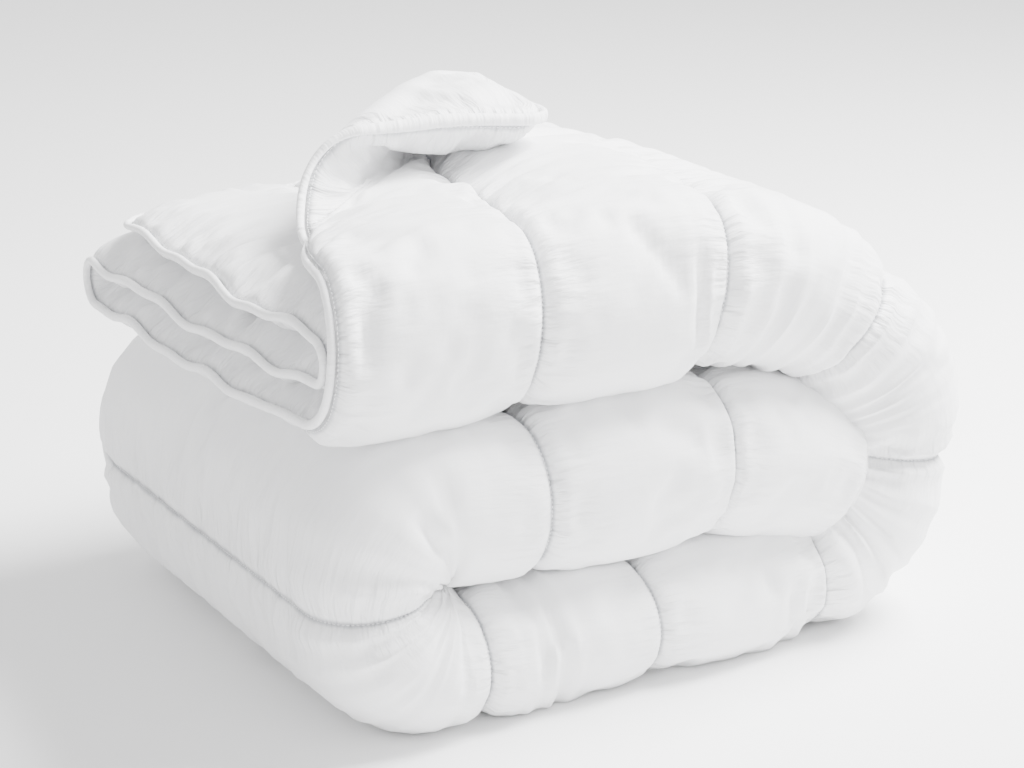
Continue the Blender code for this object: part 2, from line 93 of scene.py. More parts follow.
ROLL_HEIGHT = 2 * LEFT_RADIUS + PASS_GAP + LOFT_SHARES["top"] * STACK
SHOULDER_RADIUS = 0.380
SHOULDER_TURN = math.radians(50.0)
TOE_RADIUS = 0.190
TOE_TURN = math.radians(115.0)
NEUTRAL_DEPTH = 0.043
SIDE_DROP = ROLL_HEIGHT - SHOULDER_RADIUS * (1 - math.cos(SHOULDER_TURN))
SIDE_DROP -= TOE_RADIUS * (1 + math.cos(TOE_TURN))
SIDE_RADIUS = SIDE_DROP / (math.cos(SHOULDER_TURN) - math.cos(TOE_TURN))
INNER_RADIUS = SHOULDER_RADIUS - LOFT_SHARES["top"] * STACK - PASS_GAP
INNER_TURN = math.radians(45.0)
GROUND_PRESS = 0.0045


def roll_stretches():
    """List the roll's stretches: outer length, turn, and the fabric each one holds."""
    bends = [
        (SHOULDER_RADIUS, SHOULDER_TURN),
        (SIDE_RADIUS, TOE_TURN - SHOULDER_TURN),
        (TOE_RADIUS, math.pi - TOE_TURN),
        (LEFT_RADIUS, math.pi),
    ]
    arcs = [(radius * turn, turn, (radius - NEUTRAL_DEPTH) * turn) for radius, turn in bends]
    end = (INNER_RADIUS * INNER_TURN, INNER_TURN, INNER_RADIUS * INNER_TURN * 1.5)
    bend_x = (SHOULDER_RADIUS - SIDE_RADIUS) * math.sin(SHOULDER_TURN)
    bend_x += (SIDE_RADIUS - TOE_RADIUS) * math.sin(TOE_TURN)
    held = sum(arc[2] for arc in arcs) + end[2]
    bottom = (QUILT_LENGTH - held + bend_x) / 2.94
    straight = [(length, 0.0, length) for length in (0.94 * bottom, bottom, bottom - bend_x)]
    return [straight[0], *arcs[:3], straight[1], arcs[3], straight[2], end]


STRETCHES = roll_stretches()
TOP_LENGTH = STRETCHES[0][0]
ENDS = np.cumsum([0.0] + [stretch[2] for stretch in STRETCHES])
INNER_END_LENGTH = 0.198
INNER_END_LEAN = math.radians(25.0)
STRETCHES[-1] = (INNER_END_LENGTH, INNER_END_LEAN, STRETCHES[-1][2])
LOFT_PLACES = [ENDS[1], ENDS[1] + 0.15, ENDS[4] - 0.10, ENDS[4] + 0.05, ENDS[5] - 0.06]
LOFT_PLACES += [ENDS[5] + 0.03, ENDS[6] - 0.02, ENDS[6] + 0.07, ENDS[7], ENDS[8]]
LOFT_VALUES = [1.18, 1.00, 1.00, 0.80, 0.80, 0.95, 0.95, 1.10, 1.10, 1.02]


def ease(value, low, high):
    """Rise smoothly from 0 at low to 1 at high."""
    share = np.clip((value - low) / (high - low), 0.0, 1.0)
    return share * share * (3 - 2 * share)


def roll_line(u):
    """Return x, z and the heading of the roll's outermost line at length u."""
    x, z, heading = np.array(u) * 0.0 - TOP_LENGTH, np.array(u) * 0.0 + ROLL_HEIGHT, u * 0.0
    for (length, turn, fabric), start in zip(STRETCHES, ENDS):
        share = np.clip((u - start) / fabric, -9.0 if start == 0.0 else 0.0, 1.0)
        after = heading + turn * share
        if turn == 0.0:
            x = x + length * share * np.cos(heading)
            z = z - length * share * np.sin(heading)
        else:
            radius = length / turn
            x = x + radius * (np.sin(after) - np.sin(heading))
            z = z + radius * (np.cos(after) - np.cos(heading))
        heading = after
    beyond = np.maximum(u - ENDS[-1], 0.0)
    return x + beyond * np.cos(heading), z - beyond * np.sin(heading), heading


def fold_in_four(v, w):
    """Return y across the folded stack and n through it, from a flat v and w."""
    first = (v - V_OUTER) / (1.5 * LOFT)
    back = (v - V_BACK) / (0.5 * LOFT)
    inner = (v - V_INNER) / (0.5 * LOFT)
    wide, tight, inside = 1.5 * LOFT + w, 0.5 * LOFT + w, 0.5 * LOFT - w
    cases = [
        (v < V_OUTER, BACK_Y - v, 3.5 * LOFT + w),
        (v < V_SECOND, FOLD_Y - wide * np.sin(first), FOLD_Y + wide * np.cos(first)),
        (v < V_BACK, FOLD_Y + v - V_SECOND, 0.5 * LOFT - w),
        (v < V_THIRD, BACK_Y + tight * np.sin(back), LOFT - tight * np.cos(back)),
        (v < V_INNER, BACK_Y - (v - V_THIRD), 1.5 * LOFT + w),
        (v < V_FOURTH, INNER_FOLD_Y - inside * np.sin(inner), FOLD_Y - inside * np.cos(inner)),
    ]
    rest = (INNER_FOLD_Y + v - V_FOURTH, 2.5 * LOFT - w)
    y = np.select([case[0] for case in cases], [case[1] for case in cases], rest[0])
    n = np.select([case[0] for case in cases], [case[2] for case in cases], rest[1])
    return y, n


# The quilt's place comes from the frame: the shoulder hinge gives x, the front of the box y.
BEND_U = 2 * CHANNEL_PITCH
HINGE_U = 3 * CHANNEL_PITCH
HINGE_LIFT = 0.0010
CAD_PUFF = 0.97 * LOFT / 2
shoulder = next(joint for joint in frame["joints"] if joint["name"] == "top_pass_lift")
hinge_x, hinge_z, hinge_heading = (float(value) for value in roll_line(np.array(HINGE_U)))
ORIGIN = np.round([
    shoulder["pos_m"][0] - hinge_x - HINGE_LIFT * math.sin(hinge_heading),
    cad_box[0][1] - FOLD_Y + 1.5 * LOFT + CAD_PUFF,
    -GROUND_PRESS,
], 5)

# The turned-back corner: its leg, the bend it rolls over, and the way it lies beyond the bend.
FLAP_LEG = 0.275
FLAP_RADIUS = 0.033
FLAP_SWELL = 0.004
FLAP_CUT = 26
CREASE_OUT = np.array([-0.604, 0.797, 0.0])
FLAP_RUN = np.array([0.660, -0.740, -0.05])
CORNER_ROUND = 0.032

# How far the layers have slid and sagged since the quilt was rolled.
TOP_SLIDE = 0.066
TOP_DRAG = 0.046
TOP_DRAG_RISE = 0.040
UNDER_SLIDE = 0.028
OPEN_SAG = 0.018
BACK_SAG = 0.020
CREASE_PULL = 0.025
INNER_TUCK = 0.032
SLIDE_PLACES = (1.0, 1.2, 1.4, 1.6, 1.8, 2.0, 2.2)
SLIDES = (0.0, -0.005, -0.020, -0.045, 0.010, 0.030, 0.040)


def lay(u, v, w):
    """Carry a flat point through the folds and the roll, with the sag of the open end."""
    top = 1 - ease(v, 0.25, 0.60)
    loose = np.exp(-((np.maximum(u + v - FLAP_LEG, 0.0) / 0.09) ** 2))
    along_leg = np.clip(u / FLAP_LEG, 0, 1)
    slide = TOP_SLIDE * top * (1 - ease(u, 0.4, 1.0))
    slide += loose * top * (TOP_DRAG + TOP_DRAG_RISE * along_leg)
    under = ease(v, V_BACK - 0.3, V_FOURTH) * (1 - ease(u, 0.0, 0.5))
    slide += UNDER_SLIDE * under * ease(v, V_FOURTH, QUILT_WIDTH)
    slide += np.interp(u, SLIDE_PLACES, SLIDES)
    x, z, heading = roll_line(u + slide)
    y, n = fold_in_four(v, w)
    depth = (STACK - n) * np.interp(u + slide, LOFT_PLACES, LOFT_VALUES)
    open_end = 1 - ease(u, 0.05, 0.35)
    sag = OPEN_SAG * open_end * ease(y, 0.02, 0.30)
    sag += BACK_SAG * (1 - ease(u, 0.6, 0.8)) * ease(y, 0.33, 0.57) * ease(n, 2 * LOFT, STACK)
    y = y - CREASE_PULL * loose * top * along_leg
    inner = np.clip((BACK_Y - y) / (BACK_Y - INNER_FOLD_Y), 0, 1) * ease(v, V_BACK, V_THIRD)
    y = y - INNER_TUCK * inner * (1 - ease(u, 0.0, 0.12))
    x = x - depth * np.sin(heading)
    z = z - depth * np.cos(heading) - sag
    return np.stack([x, y, np.maximum(z, GROUND_PRESS)], -1) + ORIGIN


EDGE_WAVE = 0.0030
OPEN_WAVE = 0.0050
EDGE_CURL = 0.021
CURL_WIDTH = 0.030
LOWER_PUFF = 0.9


def waver(place, amount):
    """Return the slow up-and-down of a soft edge along its length."""
    return amount * (np.sin(34 * place + 0.6) + 0.6 * np.sin(69 * place + 2.1)) / 1.6


def round_corners(u, v):
    """Draw the flat points near the four corners in to a quarter circle."""
    in_u = np.maximum(CORNER_ROUND - np.minimum(u, QUILT_LENGTH - u), 0.0)
    in_v = np.maximum(CORNER_ROUND - np.minimum(v, QUILT_WIDTH - v), 0.0)
    pull = 1 - np.maximum(in_u, in_v) / np.maximum(np.hypot(in_u, in_v), 1e-9)
    pull = np.where((in_u > 0) & (in_v > 0), pull, 0.0)
    u = u + np.sign(QUILT_LENGTH / 2 - u) * in_u * pull
    return u, v + np.sign(QUILT_WIDTH / 2 - v) * in_v * pull


def drape(u, v, w):
    """Carry a flat point to its place, with the corner of the top layer turned back."""
    u, v, w = np.broadcast_arrays(u, v, w)
    u, v = round_corners(u, v)
    long_edge = np.minimum(np.abs(v), np.abs(v - QUILT_WIDTH))
    w = w + waver(u, EDGE_WAVE) * np.exp(-np.maximum(long_edge, 0) / 0.035)
    inside = ease(v, V_SECOND, V_SECOND + 0.2)
    w = w + waver(v, OPEN_WAVE * inside) * np.exp(-np.abs(u) / 0.045)
    w = w + waver(v, EDGE_WAVE) * np.exp(-np.abs(u - QUILT_LENGTH) / 0.035)
    radius = FLAP_RADIUS + FLAP_SWELL * ease(u - v, -FLAP_LEG, 0.2 * FLAP_LEG)
    start = FLAP_LEG + math.sqrt(2) * math.pi / 2 * radius
    past = np.maximum(start - u - v, 0.0) / math.sqrt(2)
    over = ease(past, 0.3 * math.pi * radius, math.pi * radius)
    curl = EDGE_CURL * np.exp(-np.abs(u) / CURL_WIDTH) * (0.25 + 0.75 * ease(v, 0.0, 0.14))
    plump = ease(past, 0.85 * math.pi * radius, math.pi * radius + 0.045)
    w = w + LOWER_PUFF * plump * np.maximum(w, 0.0) - over * curl
    turned = past > 0
    foot = lay(u + past / math.sqrt(2), v + past / math.sqrt(2), np.where(turned, 0.0, w))
    radius = radius[..., None]
    angle = np.minimum(past[..., None] / radius, math.pi)
    beyond = np.maximum(past[..., None] - math.pi * radius, 0.0)
    reach = radius - w[..., None]
    lifted = foot + CREASE_OUT * reach * np.sin(angle)
    lifted = lifted + np.array([0, 0, 1]) * (radius - reach * np.cos(angle))
    lifted = lifted + FLAP_RUN * beyond + np.array([0, 0, 0.3]) * np.maximum(beyond - 0.05, 0) ** 2
    return np.where(turned[..., None], lifted, foot)


# The covers' shape between the seams, and the gathers that the stitching pulls in.
SEAM_LIFT = 0.006
PUFF_HALF = 0.0179
FINE = CELL / SPLIT
FINE_PER_CHANNEL = round(CHANNEL_PITCH / FINE)
ACROSS = round(QUILT_WIDTH / FINE)
ALONG = FINE_PER_CHANNEL * CHANNEL_COUNT
gathers = np.random.default_rng(7)


def crown(u, v):
    """Return how far a channel has swelled at a flat point, from 0 at a seam to 1."""
    across = np.abs(2 * np.mod(u / CHANNEL_PITCH, 1.0) - 1)
    edge = np.clip(np.minimum(v, QUILT_WIDTH - v) / 0.05, 0.0, 1.0)
    return (1 - np.clip(across, 0, 1) ** 2.6) ** 0.55 * (1 - (1 - edge) ** 2.2) ** 0.5


def ripple(place, shortest, longest, count):
    """Sum sine waves of random phase and length along a line: a rough, even gather."""
    total = np.zeros_like(place)
    for length, phase in zip(
        np.geomspace(shortest, longest, count), gathers.uniform(0, math.tau, count)
    ):
        total += np.sin(math.tau * place / length + phase) * (length / longest) ** 0.4
    return total / count


def seam_gathers(u, v):
    """Return the height of the small folds that run out from each seam and each edge."""
    height = np.zeros_like(u)
    for seam in range(CHANNEL_COUNT + 1):
        gap = np.abs(u - seam * CHANNEL_PITCH)
        reach = 0.030 * (1 + 0.5 * ripple(v, 0.11, 0.37, 4))
        fade = np.exp(-gap / reach) * (1 - np.exp(-gap / 0.007))
        height += fade * ripple(v + 0.15 * gap, 0.021, 0.060, 6)
    for edge in (0.0, QUILT_WIDTH):
        gap = np.abs(v - edge)
        fade = np.exp(-gap / 0.028) * (1 - np.exp(-gap / 0.006))
        height += fade * ripple(u, 0.019, 0.050, 6)
    turned_back = ease(u + v, FLAP_LEG + 0.08, FLAP_LEG - 0.02)
    return 0.0095 * height * (1 - 0.5 * turned_back)


def bend_folds(u, v):
    """Return the deeper folds across the noses, where the roll turns."""
    turning = ease(u, 0.25, 0.55) * (1 - ease(u, 1.0, 1.1))
    turning = turning + ease(u, 1.22, 1.36) * (1 - ease(u, 1.66, 1.80))
    nose = np.exp(-(((v - (V_OUTER + V_SECOND) / 2 - 0.02) / 0.13) ** 2))
    wave = ripple(u + 0.10 * np.abs(v - V_SECOND), 0.036, 0.082, 5)
    folds = -np.abs(wave) ** 0.8 + 0.25
    return 0.013 * folds * turning * nose


u_line = np.arange(ALONG + 1) * FINE
v_line = np.arange(ACROSS + 1) * FINE
U, V = np.meshgrid(u_line, v_line, indexing="ij")
PUFF = crown(U, V)
outside = 1 - ease(V, V_SECOND, V_SECOND + 0.1)
LIFT = SEAM_LIFT * outside * (1 - PUFF)
covers = {}
for side in (1, -1):
    folds = seam_gathers(U, V) + (bend_folds(U, V) if side == 1 else 0.0)
    height = side * PUFF_HALF * PUFF + LIFT * np.clip(np.minimum(V, QUILT_WIDTH - V) / 0.04, 0, 1)
    covers[side] = height + side * folds * np.minimum(1, 1.6 * PUFF)
coarse = (slice(None, None, SPLIT), slice(None, None, SPLIT))


SWELL_FRAMES = 16
SWELL_LIMIT = 0.008


def swell(heights):
    """Fill the covers by a cloth simulation and return how far each point moved."""
    u, v = U[coarse], V[coarse]
    rows, columns = u.shape
    pinned = (np.arange(rows) % (FINE_PER_CHANNEL // SPLIT) == 0)[:, None]
    pinned = pinned | (np.arange(columns) % (columns - 1) == 0)[None, :]
    start = {side: drape(u, v, heights[side][coarse]) for side in (1, -1)}
    index = {1: np.arange(rows * columns).reshape(rows, columns)}
    index[-1] = index[1].copy()
    index[-1][~pinned] = rows * columns + np.arange((~pinned).sum())
    points = np.concatenate([start[1].reshape(-1, 3), start[-1][~pinned]])
    faces = []
    for side in (1, -1):
        k = index[side]
        quad = np.stack([k[:-1, :-1], k[1:, :-1], k[1:, 1:], k[:-1, 1:]], -1).reshape(-1, 4)
        faces.append(quad[:, ::-side])
    mesh = bpy.data.meshes.new("covers")
    mesh.from_pydata(points.tolist(), [], np.concatenate(faces).tolist())
    body = bpy.data.objects.new("covers", mesh)
    bpy.context.scene.collection.objects.link(body)
    group = body.vertex_groups.new(name="stitched")
    group.add([int(k) for k in index[1][pinned]], 1.0, "REPLACE")
    cloth = body.modifiers.new("filling", "CLOTH")
    settings = cloth.settings
    settings.quality = 4
    settings.mass = 0.2
    settings.tension_stiffness = 20
    settings.compression_stiffness = 20
    settings.shear_stiffness = 8
    settings.bending_stiffness = 0.15
    settings.air_damping = 4
    settings.use_pressure = True
    settings.uniform_pressure_force = 3.0
    settings.vertex_group_mass = "stitched"
    settings.shrink_min = -0.045
    settings.effector_weights.gravity = 0.0
    cloth.collision_settings.use_collision = False
    cloth.point_cache.frame_start = 1
    cloth.point_cache.frame_end = SWELL_FRAMES
    for step in range(1, SWELL_FRAMES + 1):
        bpy.context.scene.frame_set(step)
    depsgraph = bpy.context.evaluated_depsgraph_get()
    swollen = body.evaluated_get(depsgraph).to_mesh()
    after = np.empty(len(points) * 3)
    swollen.vertices.foreach_get("co", after)
    bpy.data.objects.remove(body)
    bpy.context.scene.frame_set(1)
    moved = after.reshape(-1, 3) - points
    size = np.linalg.norm(moved, axis=1, keepdims=True)
    moved *= np.minimum(1.0, SWELL_LIMIT / np.maximum(size, 1e-9))
    return {side: moved[index[side]] for side in (1, -1)}


def finer(grid):
    """Double a grid along its first axis, by a cubic through its points."""
    padded = np.concatenate([2 * grid[:1] - grid[1:2], grid, 2 * grid[-1:] - grid[-2:-1]])
    middle = (9 * (padded[1:-2] + padded[2:-1]) - padded[:-3] - padded[3:]) / 16
    doubled = np.empty((2 * len(grid) - 1, *grid.shape[1:]))
    doubled[::2] = grid
    doubled[1::2] = middle
    return doubled


shape = {side: drape(U, V, covers[side]) for side in (1, -1)}
moved = swell(covers)
for side in (1, -1):
    spread = finer(finer(moved[side]).swapaxes(0, 1)).swapaxes(0, 1)
    shape[side] = shape[side] + spread
for side in (1, -1):
    shape[side][..., 2] = np.maximum(shape[side][..., 2], 0.0)


class Wire:
    """A shader socket that Python expressions can be written with."""

    def __init__(self, tree, socket):
        self.tree = tree
        self.socket = socket

    def node(self, kind, settings=None, **inputs):
        """Add a node: its settings first, then the values or links of its sockets."""
        made = self.tree.nodes.new(kind)
        for name, value in (settings or {}).items():
            setattr(made, name, value)
        for name, value in inputs.items():
            key = int(name[1:]) if name[0] == "_" and name[1:].isdigit() else name.replace("_", " ")
            if isinstance(value, Wire):
                self.tree.links.new(value.socket, made.inputs[key])
            else:
                made.inputs[key].default_value = value
        return made

    def out(self, made, name=0):
        return Wire(self.tree, made.outputs[name])

    def maths(self, operation, first, second=0.0):
        return self.out(self.node("ShaderNodeMath", {"operation": operation}, _0=first, _1=second))

    def __add__(self, other):
        return self.maths("ADD", self, other)

    def __radd__(self, other):
        return self.maths("ADD", other, self)

    def __sub__(self, other):
        return self.maths("SUBTRACT", self, other)

    def __rsub__(self, other):
        return self.maths("SUBTRACT", other, self)

    def __mul__(self, other):
        return self.maths("MULTIPLY", self, other)

    def __rmul__(self, other):
        return self.maths("MULTIPLY", other, self)

    def blend(self, low, high):
        """Mix two colours by this value."""
        mix = self.node("ShaderNodeMix", {"data_type": "RGBA"}, _0=self, _6=low, _7=high)
        return self.out(mix, 2)


# Painted shadow: the grey laid into the covers' colour along each quilting seam, where shade falls in
# the valley.
SEAM_PAINTED_SHADOW = (0.60, 0.61, 0.63, 1)


def microfibre(name, light, shade, weave, wrinkle):
    """Make the brushed microfibre of the covers: fine weave, soft creases, faint sheen, and painted
    shade along the seams.
    """
    material = bpy.data.materials.new(name)
    material.use_nodes = True
    tree = material.node_tree
    shader = tree.nodes["Principled BSDF"]
    wire = Wire(tree, None)
    flat = wire.out(wire.node("ShaderNodeUVMap", {"uv_map": "flat"}))
    seam = wire.out(wire.node("ShaderNodeAttribute", {"attribute_name": "gather"}), "Fac")
    stretch = wire.node("ShaderNodeMapping", None, Vector=flat, Scale=(22.0, 130.0, 1.0))
    pulled = wire.out(
        wire.node("ShaderNodeTexNoise", None, Vector=wire.out(stretch), Scale=1.0, Detail=3.0)
    )
    loose = wire.out(wire.node("ShaderNodeTexNoise", None, Vector=flat, Scale=34.0, Detail=4.0))
    cloudy = wire.out(wire.node("ShaderNodeTexNoise", None, Vector=flat, Scale=5.0, Detail=2.0))
    warp = wire.out(
        wire.node("ShaderNodeTexWave", {"bands_direction": "X"}, Vector=flat, Scale=weave)
    )
    weft = wire.out(
        wire.node("ShaderNodeTexWave", {"bands_direction": "Y"}, Vector=flat, Scale=weave)
    )
    threads = (warp + weft) * 0.5
    creases = pulled * (seam * 2.3 + 0.06) + loose * 0.22
    soft = wire.node("ShaderNodeBump", None, Strength=wrinkle, Distance=0.006, Height=creases)
    fine = wire.node(
        "ShaderNodeBump", None, Strength=0.12, Distance=0.0002, Height=threads,
        Normal=wire.out(soft),
    )
    # The colour runs between the light and shade tones with a random cloudy tone and the weave, and
    # darkens towards the seams and long edges as painted shade.
    tone = cloudy * 0.5 + threads * 0.25 + (1 - seam) * 0.25
    # Painted shadow: within a few millimetres of each seam line and of the two open ends, the colour
    # turns grey.
    along = wire.out(wire.node("ShaderNodeSeparateXYZ", None, Vector=flat), "X")
    gap = along.maths("PINGPONG", along, CHANNEL_PITCH / 2)
    outside_seam_shadow = wire.out(wire.node(
        "ShaderNodeMapRange", {"interpolation_type": "SMOOTHSTEP"}, Value=gap + pulled * 0.002,
        From_Min=0.0014, From_Max=0.0046,
    ))
    colour = outside_seam_shadow.blend(SEAM_PAINTED_SHADOW, tone.blend(shade, light))
    tree.links.new(colour.socket, shader.inputs["Base Color"])
    tree.links.new((0.56 + cloudy * 0.12 + seam * 0.06).socket, shader.inputs["Roughness"])
    tree.links.new(fine.outputs[0], shader.inputs["Normal"])
    shader.inputs["Sheen Weight"].default_value = 0.22
    shader.inputs["Sheen Roughness"].default_value = 0.35
    shader.inputs["Specular IOR Level"].default_value = 0.35
    return material


COVER_FABRIC = microfibre(
    "white microfibre", (0.925, 0.925, 0.932, 1), (0.885, 0.888, 0.898, 1), 520.0, 0.75
)
# Nearness to a seam or a long edge: it deepens the crease bump and the roughness there, and darkens
# the colour as painted shade.
GATHER_AND_PAINTED_SHADE = np.exp(-np.abs(np.mod(U / CHANNEL_PITCH + 0.5, 1.0) - 0.5) * CHANNEL_PITCH / 0.030)
GATHER_AND_PAINTED_SHADE = np.maximum(GATHER_AND_PAINTED_SHADE, np.exp(-np.minimum(V, QUILT_WIDTH - V) / 0.025))


def make_piece(name, points, faces, flat, gather, material):
    """Make a finished mesh object, smooth, with its flat pattern kept as a UV map."""
    used, faces_at = np.unique(np.concatenate([f.ravel() for f in faces]), return_inverse=True)
    mesh = bpy.data.meshes.new(name)
    mesh.vertices.add(len(used))
    mesh.vertices.foreach_set("co", points[used].ravel())
    sizes = np.concatenate([np.full(len(f), f.shape[1]) for f in faces])
    mesh.loops.add(int(sizes.sum()))
    mesh.loops.foreach_set("vertex_index", faces_at.ravel())
    mesh.polygons.add(len(sizes))
    mesh.polygons.foreach_set("loop_start", np.concatenate([[0], np.cumsum(sizes)[:-1]]))
    mesh.update(calc_edges=True)
    mesh.validate()
    mesh.shade_smooth()
    pattern = mesh.uv_layers.new(name="flat")
    pattern.data.foreach_set("uv", flat[used][faces_at.ravel()].ravel())
    # The gather value shapes the crease bump and the roughness, and darkens the colour as painted
    # shade.
    attribute = mesh.attributes.new("gather", "FLOAT", "POINT")
    attribute.data.foreach_set("value", gather[used])
    mesh.materials.append(material)
    piece = bpy.data.objects.new(name, mesh)
    bpy.context.scene.collection.objects.link(piece)
    return piece


node_index = {1: np.arange(U.size).reshape(U.shape)}
stitched = (np.arange(ALONG + 1) % FINE_PER_CHANNEL == 0)[:, None]
stitched = stitched | (np.arange(ACROSS + 1) % ACROSS == 0)[None, :]
node_index[-1] = np.where(stitched, node_index[1], node_index[1] + U.size)
quilt_points = np.concatenate([shape[1].reshape(-1, 3), shape[-1].reshape(-1, 3)])
quilt_flat = np.tile(np.stack([U.ravel(), V.ravel()], -1), (2, 1))
quilt_gather_and_painted_shade = np.tile(GATHER_AND_PAINTED_SHADE.ravel(), 2)
CUT = FLAP_CUT * SPLIT


def channel_faces(first, last, keep_corner):
    """List the faces of one channel: the main part, or only its turned-back corner."""
    rows, columns = np.meshgrid(np.arange(first, last), np.arange(ACROSS), indexing="ij")
    ranks = rows + columns
    whole = ranks < CUT - 1 if keep_corner else ranks >= CUT
    found = []
    for side in (1, -1):
        k = node_index[side]
        i, j = rows[whole], columns[whole]
        quads = np.stack([k[i, j], k[i + 1, j], k[i + 1, j + 1], k[i, j + 1]], -1)
        found.append(quads[:, ::-side])
        i, j = rows[ranks == CUT - 1], columns[ranks == CUT - 1]
        if len(i):
            tip = k[i, j] if keep_corner else k[i + 1, j + 1]
            ends = [k[i + 1, j], k[i, j + 1]]
            halves = np.stack([tip, *(ends if keep_corner else ends[::-1])], -1)
            found.append(halves[:, ::-side])
    if len(i):
        upper, lower = node_index[1], node_index[-1]
        order = 1 if keep_corner else -1
        for a, b in zip(i, j):
            wall = [upper[a + 1, b], lower[a + 1, b], lower[a, b + 1], upper[a, b + 1]]
            wall = list(dict.fromkeys(wall))
            found.append(np.array([wall[::-order]]))
    return found


channels = []
for number in range(CHANNEL_COUNT):
    first = number * FINE_PER_CHANNEL
    faces = channel_faces(first, first + FINE_PER_CHANNEL, False)
    piece = make_piece(
        f"channel_{number + 1:02d}", quilt_points, faces, quilt_flat, quilt_gather_and_painted_shade, COVER_FABRIC
    )
    channels.append(piece)
flaps = []
for number in range(2):
    first = number * FINE_PER_CHANNEL
    faces = channel_faces(first, min(first + FINE_PER_CHANNEL, CUT), True)
    piece = make_piece(
        f"corner_flap_channel_{number + 1:02d}",
        quilt_points, faces, quilt_flat, quilt_gather_and_painted_shade, COVER_FABRIC,
    )
    flaps.append(piece)
COVERS = ("_upper_cover", "_lower_cover")
OPENING = np.array([0.40, -0.45, 1.0])
OPENING = OPENING / np.linalg.norm(OPENING)


def across_shoulder(piece):
    """Fix a piece that lies between the rolled bundle and the top pass in place, parented to neither.
    """
    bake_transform(piece)


def across_crease(piece):
    """Fix a piece that lies between the top pass and its turned-back corner in place, parented to
    neither.
    """
    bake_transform(piece)


for number, piece in enumerate(channels, 1):
    if number < 3:
        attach(piece, "top_pass")
    elif number == 3:
        across_shoulder(piece)
    else:
        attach(piece, "bundle")
    body = "top_pass" if number <= 3 else "bundle"
    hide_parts(f"filling_{number:02d}", *[body + cover for cover in COVERS])
for piece, filling in zip(flaps, ("corner_flap_filling", "corner_flap_side_filling")):
    across_crease(piece)
    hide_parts(filling, *["corner_flap" + cover for cover in COVERS])


# Piping.  A bias-cut strip of the same microfibre is wrapped round a soft cord and sewn into
# the edge all the way round, so the four corners of the quilt have a firm rounded outline.
PIPING_RADIUS = 0.0038
PIPING_SIDES = 12
PIPING_STEP = 0.004
PIPING_FABRIC = microfibre(
    "piping microfibre", (0.935, 0.935, 0.940, 1), (0.895, 0.897, 0.905, 1), 520.0, 0.40
)


def piping(name, corners):
    """Make piping along the edge through the given corners of the flat quilt."""
    route = []
    for (u0, v0), (u1, v1) in zip(corners, corners[1:]):
        count = max(2, round((abs(u1 - u0) + abs(v1 - v0)) / PIPING_STEP))
        on_side = u0 == u1
        out_u = 0 if not on_side else (-1 if u0 == 0 else 1)
        out_v = 0 if on_side else (-1 if v0 == 0 else 1)
        if route:
            last_u, last_v = route[-1][2:]
            for turn in (0.25, 0.5, 0.75):
                angle = turn * math.pi / 2
                bend = (last_u * math.cos(angle) + out_u * math.sin(angle),
                        last_v * math.cos(angle) + out_v * math.sin(angle))
                route.append((u0, v0, *bend))
        for step in range(count + 1):
            share = step / count
            route.append((u0 + (u1 - u0) * share, v0 + (v1 - v0) * share, out_u, out_v))
    u, v, out_u, out_v = (np.array(column)[:, None] for column in zip(*route))
    run = np.cumsum(np.full(len(route), PIPING_STEP))
    swell = 1 + 0.05 * ripple(run, 0.012, 0.030, 5)
    radius = PIPING_RADIUS * swell[:, None]
    angle = np.linspace(0, math.tau, PIPING_SIDES, endpoint=False)[None, :]
    out = 0.9 * PIPING_RADIUS - radius * np.cos(angle)
    rings = drape(u + out_u * out, v + out_v * out, radius * np.sin(angle))
    points = rings.reshape(-1, 3)
    k = np.arange(len(points)).reshape(len(route), PIPING_SIDES)
    after = np.roll(k, -1, axis=1)
    quads = np.stack([k[:-1], k[1:], after[1:], after[:-1]], -1).reshape(-1, 4)
    caps = [k[:1], k[-1:, ::-1]]
    around = np.tile(CHANNEL_PITCH / 2 + angle[0] * PIPING_RADIUS, len(route))
    flat = np.stack([around, np.repeat(run, PIPING_SIDES)], -1)
    gather = np.full(len(points), 0.6)
    made = make_piece(name, points, [quads, *caps], flat, gather, PIPING_FABRIC)
    shell = bmesh.new()
    shell.from_mesh(made.data)
    if shell.calc_volume(signed=True) < 0:
        bmesh.ops.reverse_faces(shell, faces=shell.faces)
        shell.to_mesh(made.data)
    shell.free()
    return made


FLAP_END = CUT * FINE
L, W = QUILT_LENGTH, QUILT_WIDTH
piping_pieces = {
    "top_pass_piping": [(0, FLAP_END), (0, W), (BEND_U, W)],
    "top_pass_back_piping": [(FLAP_END, 0), (BEND_U, 0)],
    "bundle_piping": [(HINGE_U, 0), (L, 0), (L, W), (HINGE_U, W)],
    "shoulder_back_piping": [(BEND_U, 0), (HINGE_U, 0)],
    "shoulder_inner_piping": [(BEND_U, W), (HINGE_U, W)],
    "corner_flap_piping": [(FLAP_END, 0), (0, 0), (0, FLAP_END)],
}
for name, corners in piping_pieces.items():
    made = piping(name, corners)
    body = name.removesuffix("_back_piping").removesuffix("_inner_piping").removesuffix("_piping")
    if body == "shoulder":
        across_shoulder(made)
        continue
    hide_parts(name + "_casing", name + "_cord")
    if body == "corner_flap":
        across_crease(made)
    else:
        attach(made, body)


